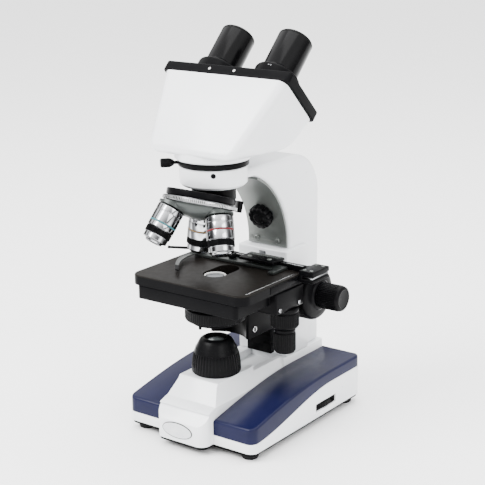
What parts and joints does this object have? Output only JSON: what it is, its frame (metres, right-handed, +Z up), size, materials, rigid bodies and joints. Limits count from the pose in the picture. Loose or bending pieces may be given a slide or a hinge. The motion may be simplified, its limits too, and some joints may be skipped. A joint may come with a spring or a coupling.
{
  "type": "binocular compound microscope",
  "caption": "Upright binocular light microscope with a curved white arm, a winged base with a lamp, a mechanical stage, coaxial focus knobs and a tilted revolving nosepiece.",
  "frame": {"origin": "on the table, under the middle of the bounding box", "axes": "+X to the instrument's right as the nose of the base is seen from the front, +Y from the nose of the base to the arm, +Z up"},
  "size_m": [0.1688, 0.2102, 0.3701],
  "materials": {
    "white_paint": "cool white enamel, satin gloss",
    "blue_paint": "deep navy enamel, satin gloss",
    "gray_trim": "gray-green metallic satin",
    "black_metal": "satin black",
    "black_plastic": "satin black moulding",
    "stage_coating": "brown-black wear coating, satin",
    "chrome_plate": "polished plate",
    "screw_steel": "turned",
    "lens_glass": "clear",
    "foot_rubber": "matte",
    "bottom_sheet": "matte black sheet",
    "board_green": "resist-coated board"
  },
  "bodies": {
    "stand": {"base_housing": "white_paint", "left_cover": "blue_paint", "right_cover": "blue_paint", "bottom_plate": "bottom_sheet", "foot_back_left": "foot_rubber", "foot_back_right": "foot_rubber", "foot_front_left": "foot_rubber", "foot_front_right": "foot_rubber", "arm_casting": "white_paint", "arm_trim": "gray_trim", "trim_screw_left": "screw_steel", "trim_screw_right": "screw_steel", "head_seat_ring": "black_metal", "illuminator_hood": "black_metal", "field_lens": "lens_glass", "lamp": "lens_glass", "circuit_board": "board_green", "mains_inlet": "black_plastic", "bearing_flange": "black_plastic", "nosepiece_mount": "black_metal", "click_stop": "black_metal"},
    "arm_clamp": {"arm_clamp_knob": "black_plastic"},
    "head_lock": {"head_lock_screw": "black_plastic"},
    "dimmer": {"dimmer_wheel": "black_plastic"},
    "switch": {"power_switch": "black_plastic"},
    "tension": {"tension_ring": "black_plastic"},
    "coarse_focus": {"coarse_shaft": "screw_steel", "coarse_knob_left": "black_plastic", "coarse_knob_right": "black_plastic"},
    "fine_focus": {"fine_shaft": "screw_steel", "fine_knob_left": "black_plastic", "fine_knob_right": "black_plastic"},
    "carrier": {"stage_slide": "black_metal", "stage_bracket": "black_metal", "stage_under_plate": "black_metal", "stage_plate": "stage_coating", "condenser_housing": "black_metal", "condenser_lens": "lens_glass"},
    "iris": {"iris_lever": "black_metal"},
    "y_stage": {"y_carriage": "black_metal", "x_rail": "black_metal"},
    "y_knob": {"y_travel_knob": "black_plastic"},
    "x_stage": {"slide_holder": "gray_trim", "x_slider": "black_metal"},
    "x_knob": {"x_travel_knob": "black_plastic"},
    "holder_lock": {"holder_screw": "black_plastic"},
    "finger": {"spring_finger": "gray_trim", "finger_knob": "black_plastic"},
    "turret": {"turret_rim": "chrome_plate", "turret_dome": "gray_trim", "objective_4x": "chrome_plate", "objective_10x": "chrome_plate", "objective_40x": "chrome_plate"},
    "head": {"head_housing": "white_paint", "head_face_plate": "black_metal", "prism_block": "lens_glass"},
    "eye_left": {"eyetube_left": "black_metal"},
    "eye_right": {"eyetube_right": "black_metal"},
    "ocular_left": {"eyepiece_left": "black_metal"},
    "ocular_right": {"eyepiece_right": "black_metal"}
  },
  "joints": [
    {"name": "clamp_turn", "type": "hinge", "parent": "stand", "child": "arm_clamp", "pos_m": [0, 0.04264, 0.19423], "axis": [0, -0.9298, -0.3681], "range_deg": [-180, 180]},
    {"name": "head_lock_turn", "type": "hinge", "parent": "stand", "child": "head_lock", "pos_m": [0, -0.03488, 0.259], "axis": [-0.682, -0.7314, 0], "range_deg": [-180, 180]},
    {"name": "dimmer_turn", "type": "hinge", "parent": "stand", "child": "dimmer", "pos_m": [0.0557, 0.04112, 0.0185], "axis": [0, 0, 1], "range_deg": [-135, 135]},
    {"name": "switch_rock", "type": "hinge", "parent": "stand", "child": "switch", "pos_m": [0.05, 0.10062, 0.0215], "axis": [1, 0, 0], "range_deg": [0, 12]},
    {"name": "tension_turn", "type": "hinge", "parent": "stand", "child": "tension", "pos_m": [0, 0.05162, 0.1215], "axis": [1, 0, 0], "range_deg": [-60, 60]},
    {"name": "coarse_turn", "type": "hinge", "parent": "stand", "child": "coarse_focus", "pos_m": [0, 0.05162, 0.1215], "axis": [1, 0, 0], "range_deg": [-96, 77]},
    {"name": "fine_turn", "type": "hinge", "parent": "stand", "child": "fine_focus", "pos_m": [0, 0.05162, 0.1215], "axis": [1, 0, 0], "continuous": true},
    {"name": "stage_lift", "type": "slide", "parent": "stand", "child": "carrier", "axis": [0, 0, 1], "range_m": [-0.008, 0.01]},
    {"name": "iris_turn", "type": "hinge", "parent": "carrier", "child": "iris", "pos_m": [0, -0.03488, 0.1097], "axis": [0, 0, 1], "range_deg": [-35, 35]},
    {"name": "y_travel", "type": "slide", "parent": "carrier", "child": "y_stage", "axis": [0, 1, 0], "range_m": [-0.02, 0.008]},
    {"name": "y_knob_turn", "type": "hinge", "parent": "carrier", "child": "y_knob", "pos_m": [0.054, -0.00138, 0.1134], "axis": [0, 0, 1], "range_deg": [-143.5, 57.6]},
    {"name": "x_travel", "type": "slide", "parent": "y_stage", "child": "x_stage", "axis": [1, 0, 0], "range_m": [-0.03, 0.015]},
    {"name": "x_knob_turn", "type": "hinge", "parent": "carrier", "child": "x_knob", "pos_m": [0.054, -0.00138, 0.0916], "axis": [0, 0, 1], "range_deg": [-215.2, 107.7]},
    {"name": "holder_lock_turn", "type": "hinge", "parent": "x_stage", "child": "holder_lock", "pos_m": [-0.01, 0.00547, 0.159], "axis": [0, 0, 1], "range_deg": [-180, 180]},
    {"name": "finger_open", "type": "hinge", "parent": "x_stage", "child": "finger", "pos_m": [-0.048, 0.00212, 0.16], "axis": [0, 0, 1], "range_deg": [-25, 0], "stiffness_Nm_per_rad": 0.05},
    {"name": "turret_turn", "type": "hinge", "parent": "stand", "child": "turret", "pos_m": [0, -0.05538, 0.2246], "axis": [0, 0.3223, 0.9466], "continuous": true},
    {"name": "head_turn", "type": "hinge", "parent": "stand", "child": "head", "pos_m": [0, -0.03488, 0.262], "axis": [0, 0, 1], "continuous": true},
    {"name": "eye_right_slide", "type": "slide", "parent": "head", "child": "eye_right", "axis": [1, 0, 0], "range_m": [-0.0045, 0.0055]},
    {"name": "eye_left_slide", "type": "slide", "parent": "head", "child": "eye_left", "axis": [1, 0, 0], "range_m": [-0.0055, 0.0045]},
    {"name": "ocular_right_turn", "type": "hinge", "parent": "eye_right", "child": "ocular_right", "pos_m": [0.032, 0.00169, 0.31213], "axis": [0, 0.7071, 0.7071], "continuous": true},
    {"name": "ocular_left_turn", "type": "hinge", "parent": "eye_left", "child": "ocular_left", "pos_m": [-0.032, 0.00169, 0.31213], "axis": [0, 0.7071, 0.7071], "continuous": true}
  ],
  "couplings": [
    {"joint": "coarse_turn", "follows": "stage_lift", "rad_per_m": -166.67},
    {"joint": "y_knob_turn", "follows": "y_travel", "rad_per_m": 125},
    {"joint": "x_knob_turn", "follows": "x_travel", "rad_per_m": 125},
    {"joint": "eye_left_slide", "follows": "eye_right_slide", "ratio": -1}
  ]
}
